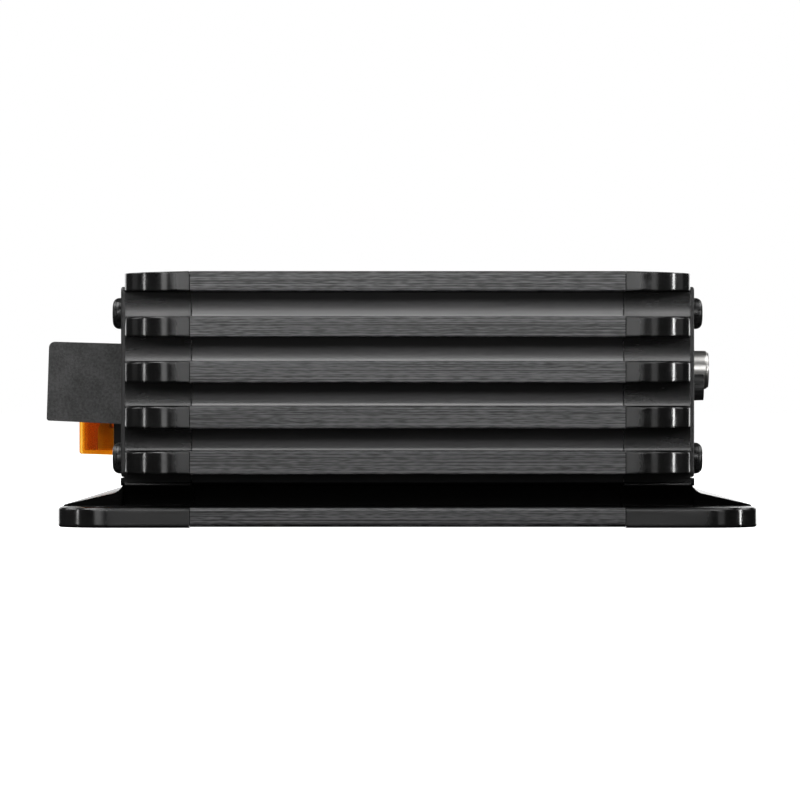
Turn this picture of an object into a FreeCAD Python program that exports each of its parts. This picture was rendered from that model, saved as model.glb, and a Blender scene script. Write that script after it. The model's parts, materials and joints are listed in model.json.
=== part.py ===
import FreeCAD, Part
import math
import os

# Car amplifier, in millimetres.
# +Z is up, -Y is the short finned end that faces the viewer, -X is the power side and +X the input side.
# The origin is the centre of the four mounting holes, on the plane that the feet stand on.

V = FreeCAD.Vector
FIT = 0.05  # radial running clearance of a screw, shaft or rivet

# ---- overall sizes -------------------------------------------------------------------------------
HEIGHT = 57.0
HALF_DEPTH = 115.0
CORE_X = 48.3  # half length of the extrusion, between the two end caps
SEAM = 0.15  # open seam between the extrusion and a cap
CAP_X = 63.4  # side face of a cap, on which its panel lies
FOOT_X = 78.3  # outer edge of the mounting flange

# ---- fins and walls ------------------------------------------------------------------------------
FIN_COUNT = 5
FIN_PITCH = 10.0
FIN_THICK = 4.5  # the top fin; each one below is a little thicker
FIN_GROWTH = 0.15
FIN_DEPTH = 11.1
FIN_TAPER = 0.35  # how much each face of a fin draws in at the cap's side
FIN_EDGE_R = 0.3
FIN_ROOT_R = 1.0
WALL_Y = HALF_DEPTH - FIN_DEPTH
WALL_INNER_Y = 99.0
WALL_LOW_Z = 9.2
CEILING_Z = 52.5

# ---- foot, groove above it and the lip for the bottom plate --------------------------------------
FOOT_TOP_Z = 4.5
FOOT_EDGE_R = 0.65
CORE_LIFT = 0.25  # the extrusion's foot stands this far above the caps' feet
GROOVE_Y = 92.0
WEB_INNER_Y = 88.0
WEB_TOP_Z = 12.2
LIP_Y = 79.0
REBATE_Y = 84.2
REBATE_TOP_Z = 1.85

# ---- top grooves ---------------------------------------------------------------------------------
TOP_GROOVES = 5
TOP_GROOVE_FIRST_Y = 58.0
TOP_GROOVE_PITCH = 9.0
TOP_GROOVE_WIDTH = 4.0
TOP_GROOVE_DEEP = 1.8
TOP_GROOVE_R = 0.5

# ---- end caps ------------------------------------------------------------------------------------
CAP_START_X = CORE_X + SEAM
CAP_WALL_X = 60.9  # inner face of the cap's side wall
CAP_CORNER_R = FIN_DEPTH
FLANGE_CORNER_R = CAP_CORNER_R
SKIRT_TOP_Z = 10.9  # the skirt below a panel, flush with the panel's face
RAMP_TOE_X = 77.6  # the ramp that falls from the skirt to the flange's outer edge
RAMP_TOE_Z = 4.8
RAMP_HEEL_Z = 7.8
RAMP_COVE_R = 3.2
RAMP_HALF_Y = 96.7  # the ramp's ends slope at 45 degrees down to flat pads in the corners
BEAD_TOP_Z = 9.8  # the bead along the lower edge of a cap's finned wall
BEAD_PROUD = 0.8
WINDOW_Y = 93.0
WINDOW_LOW_Z = 12.4
WINDOW_TOP_Z = 50.9
MOUNT_X = 70.0
MOUNT_Y = 107.0
MOUNT_HOLE_R = 2.5

# ---- panels and their screws ---------------------------------------------------------------------
PANEL_THICK = 0.9
PANEL_X = CAP_X + PANEL_THICK
PANEL_HALF_Y = 103.4
PANEL_LOW_Z = 11.1
PANEL_TOP_Z = 53.8
PANEL_CORNER_R = 1.2
PANEL_EDGE_R = 0.5
PANEL_SCREW_Y = 98.0
PANEL_SCREW_Z = (15.3, 47.9)
PANEL_SCREW_LONG = 26.0
SCREW_HEAD_R = 3.5
SCREW_HEAD_TALL = 2.1
SCREW_RIM_R = 1.5
SCREW_SOCKET_FLATS = 2.5
SCREW_SOCKET_DEEP = 1.5
SCREW_SHANK_R = 1.75
SCREW_HOLE_R = 1.85
CHANNEL_IN_Y = 94.0
CHANNEL_HALF_Z = 4.0

# ---- bottom plate, boards and standoffs ----------------------------------------------------------
PLATE_LOW_Z = 0.25
PLATE_TOP_Z = 1.75
PLATE_X = 62.0
PLATE_HALF_Y = 84.0
BOARD_LOW_Z = 13.0
BOARD_THICK = 1.6
BOARD_TOP_Z = BOARD_LOW_Z + BOARD_THICK
BOARD_X = 59.0
BOARD_HALF_Y = 91.0
BOARD_HOLE_R = 1.5
STANDOFF_FLATS = 5.5
STANDOFF_HOLE_R = 1.25
STANDOFF_RIVET_R = 2.05
STANDOFF_SPOTS = [(x, y) for x in (-52.0, 52.0) for y in (-74.0, 0.0, 74.0)]
BOTTOM_SCREW_SPOTS = [(x, y) for x in (-32.0, 0.0, 32.0) for y in (-81.5, 81.5)]
PREAMP_LOW_Z = 24.0
PREAMP_TOP_Z = PREAMP_LOW_Z + BOARD_THICK
PREAMP_X = (26.0, 60.0)
PREAMP_Y = (-78.0, 90.0)
PREAMP_SPOTS = [(30.0, -70.0), (30.0, 6.0), (30.0, 84.0)]

# ---- input side ----------------------------------------------------------------------------------
KNOB_Z = 31.4
KNOB_YS = {"gain_knob": -51.0, "low_pass_knob": -39.0, "bass_boost_knob": -27.0}
KNOB_R = 3.35
KNOB_TIP_R = 3.05
KNOB_END_X = 69.8
KNOB_START_X = 61.0
KNOB_TEETH = 18
KNOB_TOOTH_DEEP = 0.3
KNOB_HOLE_R = 3.85
SHAFT_R = 1.7
SHAFT_HOLE_R = 1.75
JACK_Z = 35.8
JACK_YS = [-4.0, 10.0, 24.0, 38.0]
JACK_END_X = 74.1
JACK_R = 4.75
JACK_TAIL_R = 4.55
SWITCH_Z = 31.4
SWITCH_YS = {"crossover_switch_slider": 52.0, "input_level_switch_slider": 64.0}
SOCKET_Y = 80.0
SOCKET_Z = 33.2
SOCKET_HALF = 6.0
LED_YS = [-72.0, -64.0]
LED_Z = 33.0

# ---- power side ----------------------------------------------------------------------------------
# The block leans up by about two degrees towards its outer end.
BLOCK_Y = (-62.0, -12.0)
BLOCK_CORNERS = [(-PANEL_X, 22.7, 0.2), (-84.2, 23.6, 0.6), (-83.6, 42.05, 1.4), (-PANEL_X, 41.5, 0.2)]
SPEAKER_Y = (38.0, 86.0)
SPEAKER_CORNERS = [(-PANEL_X, 23.6, 0.2), (-79.6, 23.9, 0.6), (-79.3, 40.4, 1.2), (-PANEL_X, 40.1, 0.2)]
BLOCK_NECK_Z = (26.0, 39.0)
SPEAKER_NECK_Z = (26.0, 38.0)
NECK_X = -57.0
NECK_MARGIN = 2.0

FUSE_YS = {"1": -2.0, "2": 10.0}
FUSE_Z = 24.4
FUSE_WIDE = 19.1
FUSE_THICK = 5.1
FUSE_END_X = -80.6
FUSE_SEAT_X = -72.2
HOLDER_X = -71.9
HOLDER_INNER_X = -56.0
HOLDER_Y = (-8.0, 16.0)
HOLDER_Z = (13.6, 35.2)
BLADE_WIDE = 5.2
BLADE_THICK = 0.8
BLADE_OFFSET = 5.6
BLADE_TOP_X = -76.2
BLADE_END_X = -63.0
FUSE_SKIN = 1.2


# ---- helpers -------------------------------------------------------------------------------------
def at(along, a, b, s):
    """The point with section coordinates a and b, at distance s along the named axis."""
    if along == "x":
        return V(s, a, b)
    if along == "y":
        return V(a, s, b)
    return V(a, b, s)


def direction(along, length):
    return at(along, 0, 0, length)


def shrunk(limits, margin):
    """A pair of limits, each brought in by the margin."""
    return (limits[0] + margin, limits[1] - margin)


def corner_arc(before, corner, after, radius):
    """Start, middle and end of the arc that rounds a corner of an outline."""
    p = V(corner[0], corner[1], 0)
    to_before = (V(before[0], before[1], 0) - p).normalize()
    to_after = (V(after[0], after[1], 0) - p).normalize()
    half = to_before.getAngle(to_after) / 2
    inward = (to_before + to_after).normalize()
    cut = radius / math.tan(half)
    middle = p + inward * (radius / math.sin(half) - radius)
    return p + to_before * cut, middle, p + to_after * cut


def outline(corners, along, s):
    """A closed wire through (a, b) or (a, b, radius) corners, each rounded by its radius."""
    stretches = []
    count = len(corners)
    for i, corner in enumerate(corners):
        radius = corner[2] if len(corner) > 2 else 0
        if radius:
            stretches.append(corner_arc(corners[i - 1], corner, corners[(i + 1) % count], radius))
        else:
            stretches.append((V(corner[0], corner[1], 0),))
    edges = []
    for i, stretch in enumerate(stretches):
        placed = [at(along, p.x, p.y, s) for p in stretch]
        if len(placed) == 3:
            edges.append(Part.Arc(*placed).toShape())
        start = placed[-1]
        follower = stretches[(i + 1) % count][0]
        end = at(along, follower.x, follower.y, s)
        if start.distanceToPoint(end) > 1e-6:
            edges.append(Part.LineSegment(start, end).toShape())
    return Part.Wire(edges)


def prism(corners, along, start, end):
    return Part.Face(outline(corners, along, start)).extrude(direction(along, end - start))


def box(x, y, z):
    """A block between pairs of limits."""
    low = V(min(x), min(y), min(z))
    return Part.makeBox(abs(x[1] - x[0]), abs(y[1] - y[0]), abs(z[1] - z[0]), low)


def rod(along, a, b, radius, start, end):
    low, high = min(start, end), max(start, end)
    return Part.makeCylinder(radius, high - low, at(along, a, b, low), direction(along, 1))


def cone(along, a, b, start_radius, end_radius, start, end):
    way = 1 if end > start else -1
    return Part.makeCone(
        start_radius, end_radius, abs(end - start), at(along, a, b, start), direction(along, way)
    )


def tube(along, a, b, outer, inner, start, end):
    return rod(along, a, b, outer, start, end).cut(rod(along, a, b, inner, start - 1, end + 1))


def hexagon(a, b, flats):
    """Corners of a hexagon by its width across flats."""
    r = flats / math.sqrt(3)
    return [(a + r * math.cos(k * math.pi / 3), b + r * math.sin(k * math.pi / 3)) for k in range(6)]


def joined(shapes):
    return shapes[0].fuse(shapes[1:]).removeSplitter() if len(shapes) > 1 else shapes[0]


def mirror_x(shape):
    return shape.mirror(V(0, 0, 0), V(1, 0, 0))


def mirror_y(shape):
    return shape.mirror(V(0, 0, 0), V(0, 1, 0))


def save(name, shape):
    solids = shape.Solids
    for solid in solids:
        if not solid.isValid():
            raise ValueError("solid not valid in " + name)
    kept = solids[0] if len(solids) == 1 else Part.makeCompound(solids)
    kept.exportStep("parts/" + name + ".step")
    print(name, len(solids), round(sum(s.Volume for s in solids)))


# ---- enclosure -----------------------------------------------------------------------------------
def fin_corners(taper):
    """The outer face of one finned wall, from the top fin down to the foot's groove."""
    corners = []
    for i in range(FIN_COUNT):
        top = HEIGHT - i * FIN_PITCH - taper
        low = HEIGHT - i * FIN_PITCH - FIN_THICK - i * FIN_GROWTH + taper
        if i:
            corners.append((WALL_Y, top, FIN_ROOT_R))
        corners.append((HALF_DEPTH, top, FIN_EDGE_R))
        corners.append((HALF_DEPTH, low, FIN_EDGE_R))
        corners.append((WALL_Y, low, FIN_EDGE_R))
    return corners


def bead_corners():
    """The bead that ends a cap's finned wall at its lower edge."""
    proud_y = WALL_Y + BEAD_PROUD
    return [(WALL_Y, BEAD_TOP_Z, FIN_ROOT_R), (proud_y, BEAD_TOP_Z, 0.2), (proud_y, WALL_LOW_Z, 0.2)]


def side_corners(taper, lift, wall_end):
    """One side of the cross-section: fins, foot, and back up the inside to the ceiling."""
    corners = fin_corners(taper) + wall_end
    corners += [
        (GROOVE_Y, WALL_LOW_Z, FIN_EDGE_R),
        (GROOVE_Y, FOOT_TOP_Z, FIN_EDGE_R),
        (HALF_DEPTH, FOOT_TOP_Z, FOOT_EDGE_R),
        (HALF_DEPTH, lift, FOOT_EDGE_R),
        (REBATE_Y, lift),
        (REBATE_Y, REBATE_TOP_Z),
        (LIP_Y, REBATE_TOP_Z),
        (LIP_Y, FOOT_TOP_Z),
        (WEB_INNER_Y, FOOT_TOP_Z),
        (WEB_INNER_Y, WEB_TOP_Z, FIN_EDGE_R),
        (WALL_INNER_Y, WEB_TOP_Z, FIN_EDGE_R),
        (WALL_INNER_Y, CEILING_Z, FIN_ROOT_R),
    ]
    return corners


def section(taper, lift, wall_end):
    """The whole cross-section, one side and its mirror image."""
    right = side_corners(taper, lift, wall_end)
    left = [(-c[0],) + tuple(c[1:]) for c in reversed(right)]
    return right + left


def screw_channels(start, end):
    """The ribs in the corners that the panel screws bite into."""
    ribs = []
    for z in PANEL_SCREW_Z:
        low = WEB_TOP_Z - 1 if z < HEIGHT / 2 else z - CHANNEL_HALF_Z
        top = z + CHANNEL_HALF_Z if z < HEIGHT / 2 else CEILING_Z + 1
        for side in (-1, 1):
            ribs.append(box((start, end), (side * CHANNEL_IN_Y, side * (WALL_INNER_Y + 1)), (low, top)))
    return ribs


def channel_holes(start, end):
    spots = [(side * PANEL_SCREW_Y, z) for side in (-1, 1) for z in PANEL_SCREW_Z]
    return [rod("x", y, z, SCREW_HOLE_R, start, end) for y, z in spots]


def top_grooves():
    """Shallow channels across the top, five towards each finned end."""
    half = TOP_GROOVE_WIDTH / 2
    floor = HEIGHT - TOP_GROOVE_DEEP
    cuts = []
    for i in range(TOP_GROOVES):
        y = TOP_GROOVE_FIRST_Y + i * TOP_GROOVE_PITCH
        corners = [
            (y - half, HEIGHT + 1),
            (y - half, floor, TOP_GROOVE_R),
            (y + half, floor, TOP_GROOVE_R),
            (y + half, HEIGHT + 1),
        ]
        groove = prism(corners, "x", -CORE_X - 1, CORE_X + 1)
        cuts += [groove, mirror_y(groove)]
    return cuts


def heatsink_extrusion():
    wall_end = [(WALL_Y, WALL_LOW_Z, FIN_EDGE_R)]
    shape = prism(section(0, CORE_LIFT, wall_end), "x", -CORE_X, CORE_X)
    shape = joined([shape] + screw_channels(-CORE_X, CORE_X))
    holes = channel_holes(-CORE_X - 1, CORE_X + 1)
    holes += [rod("z", x, y, 1.3, REBATE_TOP_Z - 1, FOOT_TOP_Z + 1) for x, y in BOTTOM_SCREW_SPOTS]
    holes += clamp_screw_holes()
    return shape.cut(holes + top_grooves())


def cap_shell():
    """The cap's copy of the finned section, drawn in towards its side and rounded in plan."""
    inner = outline(section(0, 0, bead_corners()), "x", CAP_START_X)
    outer = outline(section(FIN_TAPER, 0, bead_corners()), "x", CAP_X)
    shell = Part.makeLoft([inner, outer], True, True)
    plan = [
        (CAP_START_X - 1, -HALF_DEPTH),
        (CAP_X, -HALF_DEPTH, CAP_CORNER_R),
        (CAP_X, HALF_DEPTH, CAP_CORNER_R),
        (CAP_START_X - 1, HALF_DEPTH),
    ]
    return shell.common(prism(plan, "z", -1, HEIGHT + 1))


def flange():
    """The mounting flange along the side, with rounded corners and a softened top edge."""
    plan = [
        (CAP_START_X, -HALF_DEPTH),
        (FOOT_X, -HALF_DEPTH, FLANGE_CORNER_R),
        (FOOT_X, HALF_DEPTH, FLANGE_CORNER_R),
        (CAP_START_X, HALF_DEPTH),
    ]
    plate = prism(plan, "z", 0, FOOT_TOP_Z)
    outer = []
    for edge in plate.Edges:
        span = edge.BoundBox
        level = span.ZLength < 0.01
        if level and span.XMax > CAP_START_X + 1:
            outer.append(edge)
    return plate.makeFillet(FOOT_EDGE_R, outer)


def skirt():
    """The strip under a panel that stands flush with the panel's face."""
    low = box((CAP_WALL_X, PANEL_X), (-GROOVE_Y, GROOVE_Y), (FOOT_TOP_Z - 1, SKIRT_TOP_Z))
    high = box((CAP_WALL_X, PANEL_X), (-WALL_Y, WALL_Y), (WALL_LOW_Z, SKIRT_TOP_Z))
    return [low, high]


def ramp():
    """The slope from the skirt out to the flange's edge, with a cove at its top and slanted ends."""
    side = [
        (RAMP_TOE_X, FOOT_TOP_Z - 1),
        (RAMP_TOE_X, RAMP_TOE_Z, 0.2),
        (PANEL_X, RAMP_HEEL_Z, RAMP_COVE_R),
        (PANEL_X, SKIRT_TOP_Z),
        (CAP_X, SKIRT_TOP_Z),
        (CAP_X, FOOT_TOP_Z - 1),
    ]
    slant = SKIRT_TOP_Z - FOOT_TOP_Z
    ends = [
        (-RAMP_HALF_Y, 0),
        (RAMP_HALF_Y, 0),
        (RAMP_HALF_Y, FOOT_TOP_Z),
        (RAMP_HALF_Y - slant, SKIRT_TOP_Z),
        (slant - RAMP_HALF_Y, SKIRT_TOP_Z),
        (-RAMP_HALF_Y, FOOT_TOP_Z),
    ]
    return prism(side, "y", -HALF_DEPTH, HALF_DEPTH).common(prism(ends, "x", CAP_X - 1, FOOT_X + 1))


def end_cap():
    wall = box((CAP_WALL_X, CAP_X), (-WALL_Y, WALL_Y), (WALL_LOW_Z, CEILING_Z + 1))
    window = box((CAP_WALL_X - 1, CAP_X + 3), (-WINDOW_Y, WINDOW_Y), (WINDOW_LOW_Z, WINDOW_TOP_Z))
    channels = screw_channels(CAP_START_X, CAP_WALL_X + 1)
    body = joined([cap_shell(), wall, flange(), ramp()] + skirt() + channels)
    inside = box((CAP_START_X - 1, CAP_WALL_X), (-LIP_Y, LIP_Y), (-1, WINDOW_LOW_Z + 1))
    rebate = box((CAP_START_X - 1, PLATE_X + 0.2), (-REBATE_Y, REBATE_Y), (-1, REBATE_TOP_Z))
    cuts = [window, inside, rebate] + channel_holes(CAP_START_X - 1, PANEL_X + 1)
    for end in (-1, 1):
        groove_y = (end * GROOVE_Y, end * WALL_Y)
        cuts.append(box((CAP_START_X - 1, PANEL_X), groove_y, (FOOT_TOP_Z, WALL_LOW_Z)))
        cuts.append(rod("z", MOUNT_X, end * MOUNT_Y, MOUNT_HOLE_R, -1, FOOT_TOP_Z + 1))
    return body.cut(cuts)


def panel_blank(side):
    """A flat panel with its four screw holes; side is -1 for power and 1 for input."""
    corners = [
        (-PANEL_HALF_Y, PANEL_LOW_Z, PANEL_CORNER_R),
        (PANEL_HALF_Y, PANEL_LOW_Z, PANEL_CORNER_R),
        (PANEL_HALF_Y, PANEL_TOP_Z, PANEL_CORNER_R),
        (-PANEL_HALF_Y, PANEL_TOP_Z, PANEL_CORNER_R),
    ]
    blank = prism(corners, "x", CAP_X, PANEL_X)
    rim = [e for e in blank.Edges if e.BoundBox.XMin > PANEL_X - 0.01]
    blank = blank.makeFillet(PANEL_EDGE_R, rim).cut(channel_holes(CAP_X - 1, PANEL_X + 1))
    return blank if side > 0 else mirror_x(blank)


def window_in_panel(side, y, z, radius):
    """A cutting block with rounded corners, for a window through a panel."""
    corners = [(y[0], z[0], radius), (y[1], z[0], radius), (y[1], z[1], radius), (y[0], z[1], radius)]
    return prism(corners, "x", side * (CAP_X - 1), side * (PANEL_X + 1))


def power_panel():
    windows = [
        window_in_panel(-1, neck_y(BLOCK_Y, 0.3), shrunk(BLOCK_NECK_Z, -0.3), 0.3),
        window_in_panel(-1, neck_y(SPEAKER_Y, 0.3), shrunk(SPEAKER_NECK_Z, -0.3), 0.3),
        window_in_panel(-1, shrunk(HOLDER_Y, 0.7), shrunk(HOLDER_Z, 0.7), 0.3),
    ]
    return panel_blank(-1).cut(windows)


def input_panel():
    cuts = [rod("x", y, KNOB_Z, KNOB_HOLE_R, CAP_X - 1, PANEL_X + 1) for y in KNOB_YS.values()]
    cuts += [rod("x", y, JACK_Z, JACK_TAIL_R + 0.1, CAP_X - 1, PANEL_X + 1) for y in JACK_YS]
    cuts += [rod("x", y, LED_Z, 1.6, CAP_X - 1, PANEL_X + 1) for y in LED_YS]
    for y in SWITCH_YS.values():
        cuts.append(window_in_panel(1, (y - 4.4, y + 4.4), (SWITCH_Z - 2.0, SWITCH_Z + 2.0), 0.4))
    half = SOCKET_HALF + 0.2
    socket_z = (SOCKET_Z - half, SOCKET_Z + half)
    cuts.append(window_in_panel(1, (SOCKET_Y - half, SOCKET_Y + half), socket_z, 0.5))
    return panel_blank(1).cut(cuts)


def button_screw(side, y, z):
    """A button-head screw with a hexagon socket, driven in from one side."""
    top = PANEL_X + SCREW_HEAD_TALL
    head = rod("x", y, z, SCREW_HEAD_R, PANEL_X, top)
    rim = [e for e in head.Edges if e.BoundBox.XMin > top - 0.01]
    head = head.makeFillet(SCREW_RIM_R, rim)
    shank = rod("x", y, z, SCREW_SHANK_R, PANEL_X - PANEL_SCREW_LONG, PANEL_X + 0.5)
    socket = prism(hexagon(y, z, SCREW_SOCKET_FLATS), "x", top - SCREW_SOCKET_DEEP, top + 1)
    screw = joined([head, shank]).cut(socket)
    return screw if side > 0 else mirror_x(screw)


def panel_screws(side):
    return [button_screw(side, end * PANEL_SCREW_Y, z) for end in (-1, 1) for z in PANEL_SCREW_Z]


def bottom_plate():
    plate = box((-PLATE_X, PLATE_X), (-PLATE_HALF_Y, PLATE_HALF_Y), (PLATE_LOW_Z, PLATE_TOP_Z))
    sinks = []
    for x, y in BOTTOM_SCREW_SPOTS:
        sinks.append(cone("z", x, y, 2.9, 1.4, PLATE_LOW_Z, PLATE_TOP_Z))
    for x, y in STANDOFF_SPOTS:
        sinks.append(rod("z", x, y, STANDOFF_RIVET_R + FIT, 0, PLATE_TOP_Z + 1))
    return plate.cut(sinks)


def bottom_screw(x, y):
    head = cone("z", x, y, 2.75, 1.25, PLATE_LOW_Z, PLATE_TOP_Z)
    shank = rod("z", x, y, 1.2, PLATE_TOP_Z - 0.2, FOOT_TOP_Z)
    cross = box((x - 1.3, x + 1.3), (y - 0.3, y + 0.3), (0, 1.0))
    other = box((x - 0.3, x + 0.3), (y - 1.3, y + 1.3), (0, 1.0))
    return joined([head, shank]).cut([cross, other])


def standoff(x, y, low, top, foot):
    pillar = prism(hexagon(x, y, STANDOFF_FLATS), "z", low, top)
    rivet = rod("z", x, y, STANDOFF_RIVET_R, low - foot, low + 0.5)
    return joined([pillar, rivet]).cut(rod("z", x, y, STANDOFF_HOLE_R, top - 6, top + 1))


def board_standoffs():
    tall = [standoff(x, y, PLATE_TOP_Z, BOARD_LOW_Z, 1.3) for x, y in STANDOFF_SPOTS]
    short = [standoff(x, y, BOARD_TOP_Z, PREAMP_LOW_Z, 0.0) for x, y in PREAMP_SPOTS]
    return tall + short


def pan_screw(x, y, seat):
    head = rod("z", x, y, 2.7, seat, seat + 1.9)
    dome = Part.makeSphere(3.4, V(x, y, seat + 1.9 - 3.4))
    shank = rod("z", x, y, 1.2, seat - 5, seat + 0.5)
    slot = box((x - 1.6, x + 1.6), (y - 0.35, y + 0.35), (seat + 1.0, seat + 3))
    cross = box((x - 0.35, x + 0.35), (y - 1.6, y + 1.6), (seat + 1.0, seat + 3))
    return joined([head.common(dome), shank]).cut([slot, cross])


def board_screws():
    screws = [pan_screw(x, y, BOARD_TOP_Z) for x, y in STANDOFF_SPOTS]
    return screws + [pan_screw(x, y, PREAMP_TOP_Z) for x, y in PREAMP_SPOTS]


# ---- boards and what they carry ------------------------------------------------------------------
TOROID_SPOT = (-4.0, -40.0)
TOROID_R = (9.0, 22.5)
TOROID_Z = (16.0, 35.0)
WIRE_SKIN = 1.4
CHOKE_SPOTS = [(-6.0, 44.0), (-6.0, 74.0)]
CHOKE_R = (5.5, 13.5)
CHOKE_Z = (16.0, 27.5)
INPUT_CAP_SPOTS = [(-41.0, -70.0), (-41.0, -52.0), (-41.0, -34.0)]
RAIL_CAP_SPOTS = [(-39.0, 34.0), (-39.0, 53.0), (-39.0, 72.0), (-16.0, 8.0), (4.0, 8.0)]
INPUT_CAP_SIZE = (8.0, 29.0)  # radius and height
RAIL_CAP_SIZE = (9.0, 30.0)
TRANSISTOR_XS = [-36.0, -12.0, 12.0, 36.0]
CLAMP_SCREW_XS = [-24.0, 0.0, 24.0]
CLAMP_SCREW_Z = 27.2
CLAMP_SCREW_SHANK_R = 1.45
PAD_THICK = 0.3
TRANSISTOR_DEEP = 4.5
TRANSISTOR_HALF_X = 5.1
LEG_STEPS = (-2.54, 0.0, 2.54)
CLAMP_BAR_HALF_X = 44.0


def main_board():
    board = box((-BOARD_X, BOARD_X), (-BOARD_HALF_Y, BOARD_HALF_Y), (BOARD_LOW_Z, BOARD_TOP_Z))
    holes = [rod("z", x, y, BOARD_HOLE_R, BOARD_LOW_Z - 1, BOARD_TOP_Z + 1) for x, y in STANDOFF_SPOTS]
    return board.cut(holes)


def preamp_board():
    board = box(PREAMP_X, PREAMP_Y, (PREAMP_LOW_Z, PREAMP_TOP_Z))
    holes = [rod("z", x, y, BOARD_HOLE_R, PREAMP_LOW_Z - 1, PREAMP_TOP_Z + 1) for x, y in PREAMP_SPOTS]
    return board.cut(holes)


def ring(spot, radii, z, corner):
    """A ring of rounded-rectangular section about a vertical axis."""
    corners = [
        (radii[0], z[0], corner),
        (radii[1], z[0], corner),
        (radii[1], z[1], corner),
        (radii[0], z[1], corner),
    ]
    turned = Part.Face(outline(corners, "y", 0)).revolve(V(0, 0, 0), V(0, 0, 1), 360)
    turned.translate(V(spot[0], spot[1], 0))
    return turned


def core_ring(spot, radii, z):
    skin = WIRE_SKIN + 0.1
    return ring(spot, (radii[0] + skin, radii[1] - skin), (z[0] + skin, z[1] - skin), 0.8)


def winding(spot, radii, z):
    """The wire's outer shape around a ring core, hollow where the core is."""
    skin = WIRE_SKIN
    hollow = ring(spot, (radii[0] + skin, radii[1] - skin), (z[0] + skin, z[1] - skin), 0.8)
    return ring(spot, radii, z, 3.0).cut(hollow)


def capacitor(x, y, radius, tall):
    """An electrolytic can: rounded shoulders, rolled groove near the base and a scored top."""
    base = BOARD_TOP_Z
    corners = [
        (0, base),
        (radius, base, 0.8),
        (radius, base + 2.6, 0.3),
        (radius - 0.8, base + 3.3, 0.5),
        (radius, base + 4.0, 0.3),
        (radius, base + tall, 1.2),
        (0, base + tall),
    ]
    can = Part.Face(outline(corners, "y", 0)).revolve(V(0, 0, 0), V(0, 0, 1), 360)
    can.translate(V(x, y, 0))
    top = base + tall
    score = box((x - radius * 0.6, x + radius * 0.6), (y - 0.25, y + 0.25), (top - 0.3, top + 1))
    cross = box((x - 0.25, x + 0.25), (y - radius * 0.6, y + radius * 0.6), (top - 0.3, top + 1))
    return can.cut([score, cross])


def transistor(x, end):
    """A plastic power transistor standing against the finned wall, with its three bent legs."""
    back = WALL_INNER_Y - PAD_THICK
    sides = (x - TRANSISTOR_HALF_X, x + TRANSISTOR_HALF_X)
    tab = box(sides, (back - 1.3, back), (21.5, 37.0))
    tab = tab.cut(rod("y", x, 34.3, 1.9, back - 5, back + 1))
    body = box(sides, (back - TRANSISTOR_DEEP, back - 0.5), (21.5, 30.6))
    legs = []
    for step in LEG_STEPS:
        path = [
            (back - 3.0, 22.5),
            (back - 3.0, 19.7),
            (89.5, 19.7),
            (89.5, BOARD_LOW_Z + 0.2),
            (88.9, BOARD_LOW_Z + 0.2),
            (88.9, 20.3),
            (back - 3.6, 20.3),
            (back - 3.6, 22.5),
        ]
        legs.append(prism(path, "x", x + step - 0.4, x + step + 0.4))
    shape = joined([tab, body] + legs)
    return shape if end > 0 else mirror_y(shape)


def transistor_leg_holes():
    holes = []
    for x in TRANSISTOR_XS:
        for step in LEG_STEPS:
            for end in (-1, 1):
                holes.append(rod("z", x + step, end * 89.2, 0.65, 10, 20))
    return holes


def thermal_pads():
    strips = []
    for end in (-1, 1):
        y = (end * (WALL_INNER_Y - PAD_THICK), end * WALL_INNER_Y)
        strip = box((-43.5, 43.5), y, (20.6, 38.0))
        strips.append(strip.cut([rod("y", x, CLAMP_SCREW_Z, 1.8, -110, 110) for x in CLAMP_SCREW_XS]))
    return strips


def clamp_bar(end):
    """A springy steel bar that presses a row of transistors onto the wall."""
    face = WALL_INNER_Y - PAD_THICK - TRANSISTOR_DEEP
    length = (-CLAMP_BAR_HALF_X, CLAMP_BAR_HALF_X)
    flat = box(length, (face - 1.5, face), (22.8, 30.2))
    rib = box(length, (face - 4.0, face - 1.4), (22.8, 24.0))
    holes = [rod("y", x, CLAMP_SCREW_Z, 1.7, 80, 110) for x in CLAMP_SCREW_XS]
    shape = joined([flat, rib]).cut(holes)
    return shape if end > 0 else mirror_y(shape)


def clamp_screw(x, end):
    face = WALL_INNER_Y - PAD_THICK - TRANSISTOR_DEEP - 1.5
    head = rod("y", x, CLAMP_SCREW_Z, 2.7, face - 2.0, face)
    shank = rod("y", x, CLAMP_SCREW_Z, CLAMP_SCREW_SHANK_R, face - 0.5, WALL_INNER_Y + 3.5)
    socket = prism(hexagon(x, CLAMP_SCREW_Z, 2.2), "y", face - 3, face - 1)
    shape = joined([head, shank]).cut(socket)
    return shape if end > 0 else mirror_y(shape)


def clamp_screw_holes():
    radius = CLAMP_SCREW_SHANK_R + FIT
    deep = WALL_INNER_Y + 4
    holes = [rod("y", x, CLAMP_SCREW_Z, radius, WALL_INNER_Y - 1, deep) for x in CLAMP_SCREW_XS]
    return holes + [mirror_y(hole) for hole in holes]


# ---- input side ----------------------------------------------------------------------------------
def knob(y):
    """A fluted knob moulded in one piece with its shaft, with a slot across its end."""
    corners = []
    for k in range(2 * KNOB_TEETH):
        r = KNOB_R if k % 2 == 0 else KNOB_R - KNOB_TOOTH_DEEP
        angle = math.pi * k / KNOB_TEETH
        corners.append((y + r * math.cos(angle), KNOB_Z + r * math.sin(angle)))
    grip = prism(corners, "x", KNOB_START_X, KNOB_END_X)
    envelope = cone("x", y, KNOB_Z, KNOB_R + 0.02, KNOB_TIP_R, KNOB_START_X, KNOB_END_X)
    shaft = rod("x", y, KNOB_Z, SHAFT_R, 55.0, KNOB_START_X + 1)
    slot = box((KNOB_END_X - 1.0, KNOB_END_X + 1), (y - 0.45, y + 0.45), (KNOB_Z, KNOB_Z + 5))
    return joined([grip.common(envelope), shaft]).cut(slot)


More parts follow.
